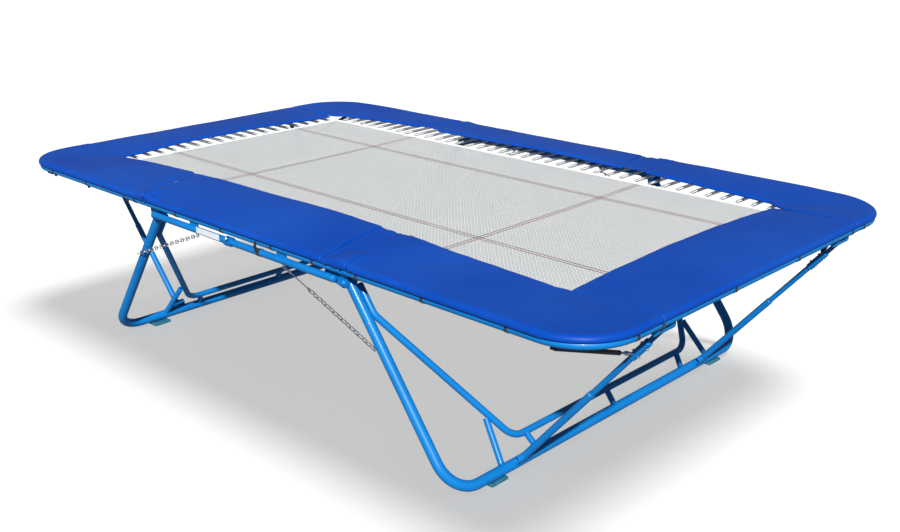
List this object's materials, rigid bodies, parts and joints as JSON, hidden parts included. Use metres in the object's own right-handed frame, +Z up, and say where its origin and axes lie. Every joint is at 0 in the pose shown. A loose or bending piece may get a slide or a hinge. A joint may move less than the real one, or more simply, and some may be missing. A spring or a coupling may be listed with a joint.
{
  "type": "trampoline",
  "caption": "Folding competition trampoline: woven bed on steel springs in a padded steel frame, with hinged ends, folding leg frames, braces and chains.",
  "frame": {"origin": "on the floor, under the middle of the bed", "axes": "+X along the trampoline towards the right end, +Y towards the far long side, +Z up"},
  "size_m": [5.202, 2.9906, 1.187],
  "materials": {
    "blue_paint": "glossy azure powder coat",
    "blue_vinyl": "royal blue coated fabric, soft satin",
    "zinc": "zinc plated",
    "dark_paint": "satin dark grey paint",
    "chrome": "polished",
    "rubber": "matt",
    "bed_web": "open woven nylon bands, light grey",
    "label": "blank, satin"
  },
  "bodies": {
    "middle": {"upper_rail_near": "blue_paint", "lower_rail_near": "blue_paint", "roller_bracket_near": "blue_paint", "springs_middle_near": "zinc", "pad_middle_near": "blue_vinyl", "corner_plate_left_near": "blue_paint", "hinge_pin_left_near": "zinc", "corner_plate_right_near": "blue_paint", "hinge_pin_right_near": "zinc", "upper_rail_far": "blue_paint", "lower_rail_far": "blue_paint", "roller_bracket_far": "blue_paint", "springs_middle_far": "zinc", "pad_middle_far": "blue_vinyl", "corner_plate_left_far": "blue_paint", "hinge_pin_left_far": "zinc", "corner_plate_right_far": "blue_paint", "hinge_pin_right_far": "zinc", "bed_middle": "bed_web", "name_plate": "label"},
    "end_left": {"end_rail_left": "blue_paint", "bed_left": "bed_web", "springs_left": "zinc", "pad_left_end": "blue_vinyl", "pad_left_near": "blue_vinyl", "pad_left_far": "blue_vinyl"},
    "leg_left": {"leg_frame_left": "blue_paint", "leg_inner_left": "blue_paint", "foot_pad_left_near": "rubber", "foot_pad_left_far": "rubber"},
    "end_right": {"end_rail_right": "blue_paint", "bed_right": "bed_web", "springs_right": "zinc", "pad_right_end": "blue_vinyl", "pad_right_near": "blue_vinyl", "pad_right_far": "blue_vinyl"},
    "leg_right": {"leg_frame_right": "blue_paint", "leg_inner_right": "blue_paint", "foot_pad_right_near": "rubber", "foot_pad_right_far": "rubber"},
    "brace_left_near": {"brace_lower_left_near": "blue_paint", "brace_upper_left_near": "blue_paint"},
    "gas_tube_left_near": {"gas_cylinder_left_near": "dark_paint"},
    "gas_plunger_left_near": {"gas_rod_left_near": "chrome"},
    "chain_left_near": {"chain_left_near": "zinc"},
    "brace_left_far": {"brace_lower_left_far": "blue_paint", "brace_upper_left_far": "blue_paint"},
    "gas_tube_left_far": {"gas_cylinder_left_far": "dark_paint"},
    "gas_plunger_left_far": {"gas_rod_left_far": "chrome"},
    "chain_left_far": {"chain_left_far": "zinc"},
    "brace_right_near": {"brace_lower_right_near": "blue_paint", "brace_upper_right_near": "blue_paint"},
    "gas_tube_right_near": {"gas_cylinder_right_near": "dark_paint"},
    "gas_plunger_right_near": {"gas_rod_right_near": "chrome"},
    "chain_right_near": {"chain_right_near": "zinc"},
    "brace_right_far": {"brace_lower_right_far": "blue_paint", "brace_upper_right_far": "blue_paint"},
    "gas_tube_right_far": {"gas_cylinder_right_far": "dark_paint"},
    "gas_plunger_right_far": {"gas_rod_right_far": "chrome"},
    "chain_right_far": {"chain_right_far": "zinc"}
  },
  "joints": [
    {"name": "fold_left", "type": "hinge", "parent": "middle", "child": "end_left", "pos_m": [-0.95, 0, 1.174], "axis": [0, 1, 0], "range_deg": [0, 180]},
    {"name": "leg_left_fold", "type": "hinge", "parent": "middle", "child": "leg_left", "pos_m": [-0.925, 0, 1.045], "axis": [0, -1, 0], "range_deg": [0, 118]},
    {"name": "fold_right", "type": "hinge", "parent": "middle", "child": "end_right", "pos_m": [0.95, 0, 1.174], "axis": [0, -1, 0], "range_deg": [0, 150]},
    {"name": "leg_right_fold", "type": "hinge", "parent": "middle", "child": "leg_right", "pos_m": [0.925, 0, 1.045], "axis": [0, 1, 0], "range_deg": [0, 100]},
    {"name": "brace_left_near_fold", "type": "hinge", "parent": "end_left", "child": "brace_left_near", "pos_m": [-2.545, -0.88, 1.072], "axis": [0, -1, 0], "range_deg": [0, 46]},
    {"name": "gas_left_near_swing", "type": "hinge", "parent": "end_left", "child": "gas_tube_left_near", "pos_m": [-2.33, -1.42, 1.085], "axis": [0.8959, -0.0124, -0.4441], "range_deg": [0, 17.27]},
    {"name": "gas_left_near_stroke", "type": "slide", "parent": "gas_tube_left_near", "child": "gas_plunger_left_near", "axis": [0.1417, -0.9394, 0.3121], "range_m": [0, 0.03281]},
    {"name": "chain_left_near_swing", "type": "hinge", "parent": "middle", "child": "chain_left_near", "pos_m": [-0.42, -1.4378, 1.022], "axis": [0, -1, 0], "range_deg": [0, 66]},
    {"name": "brace_left_far_fold", "type": "hinge", "parent": "end_left", "child": "brace_left_far", "pos_m": [-2.545, 0.88, 1.072], "axis": [0, -1, 0], "range_deg": [0, 46]},
    {"name": "gas_left_far_swing", "type": "hinge", "parent": "end_left", "child": "gas_tube_left_far", "pos_m": [-2.33, 1.42, 1.085], "axis": [-0.8959, -0.0124, 0.4441], "range_deg": [0, 17.27]},
    {"name": "gas_left_far_stroke", "type": "slide", "parent": "gas_tube_left_far", "child": "gas_plunger_left_far", "axis": [0.1417, 0.9394, 0.3121], "range_m": [0, 0.03281]},
    {"name": "chain_left_far_swing", "type": "hinge", "parent": "middle", "child": "chain_left_far", "pos_m": [-0.42, 1.4378, 1.022], "axis": [0, -1, 0], "range_deg": [0, 66]},
    {"name": "brace_right_near_fold", "type": "hinge", "parent": "end_right", "child": "brace_right_near", "pos_m": [2.545, -0.88, 1.072], "axis": [0, 1, 0], "range_deg": [0, 46]},
    {"name": "gas_right_near_swing", "type": "hinge", "parent": "end_right", "child": "gas_tube_right_near", "pos_m": [2.33, -1.42, 1.085], "axis": [0.8959, 0.0124, 0.4441], "range_deg": [0, 17.27]},
    {"name": "gas_right_near_stroke", "type": "slide", "parent": "gas_tube_right_near", "child": "gas_plunger_right_near", "axis": [-0.1417, -0.9394, 0.3121], "range_m": [0, 0.03281]},
    {"name": "chain_right_near_swing", "type": "hinge", "parent": "middle", "child": "chain_right_near", "pos_m": [0.42, -1.4378, 1.022], "axis": [0, 1, 0], "range_deg": [0, 66]},
    {"name": "brace_right_far_fold", "type": "hinge", "parent": "end_right", "child": "brace_right_far", "pos_m": [2.545, 0.88, 1.072], "axis": [0, 1, 0], "range_deg": [0, 46]},
    {"name": "gas_right_far_swing", "type": "hinge", "parent": "end_right", "child": "gas_tube_right_far", "pos_m": [2.33, 1.42, 1.085], "axis": [-0.8959, 0.0124, -0.4441], "range_deg": [0, 17.27]},
    {"name": "gas_right_far_stroke", "type": "slide", "parent": "gas_tube_right_far", "child": "gas_plunger_right_far", "axis": [-0.1417, 0.9394, 0.3121], "range_m": [0, 0.03281]},
    {"name": "chain_right_far_swing", "type": "hinge", "parent": "middle", "child": "chain_right_far", "pos_m": [0.42, 1.4378, 1.022], "axis": [0, 1, 0], "range_deg": [0, 66]}
  ],
  "couplings": [
    {"joint": "brace_left_near_fold", "follows": "fold_left", "ratio": 0.25555},
    {"joint": "gas_left_near_swing", "follows": "fold_left", "ratio": 0.095922},
    {"joint": "gas_left_near_stroke", "follows": "fold_left", "m_per_rad": 0.010444},
    {"joint": "chain_left_near_swing", "follows": "leg_left_fold", "ratio": 0.55932},
    {"joint": "brace_left_far_fold", "follows": "fold_left", "ratio": 0.25555},
    {"joint": "gas_left_far_swing", "follows": "fold_left", "ratio": 0.095922},
    {"joint": "gas_left_far_stroke", "follows": "fold_left", "m_per_rad": 0.010444},
    {"joint": "chain_left_far_swing", "follows": "leg_left_fold", "ratio": 0.55932},
    {"joint": "brace_right_near_fold", "follows": "fold_right", "ratio": 0.30667},
    {"joint": "gas_right_near_swing", "follows": "fold_right", "ratio": 0.11511},
    {"joint": "gas_right_near_stroke", "follows": "fold_right", "m_per_rad": 0.012532},
    {"joint": "chain_right_near_swing", "follows": "leg_right_fold", "ratio": 0.66},
    {"joint": "brace_right_far_fold", "follows": "fold_right", "ratio": 0.30667},
    {"joint": "gas_right_far_swing", "follows": "fold_right", "ratio": 0.11511},
    {"joint": "gas_right_far_stroke", "follows": "fold_right", "m_per_rad": 0.012532},
    {"joint": "chain_right_far_swing", "follows": "leg_right_fold", "ratio": 0.66}
  ]
}
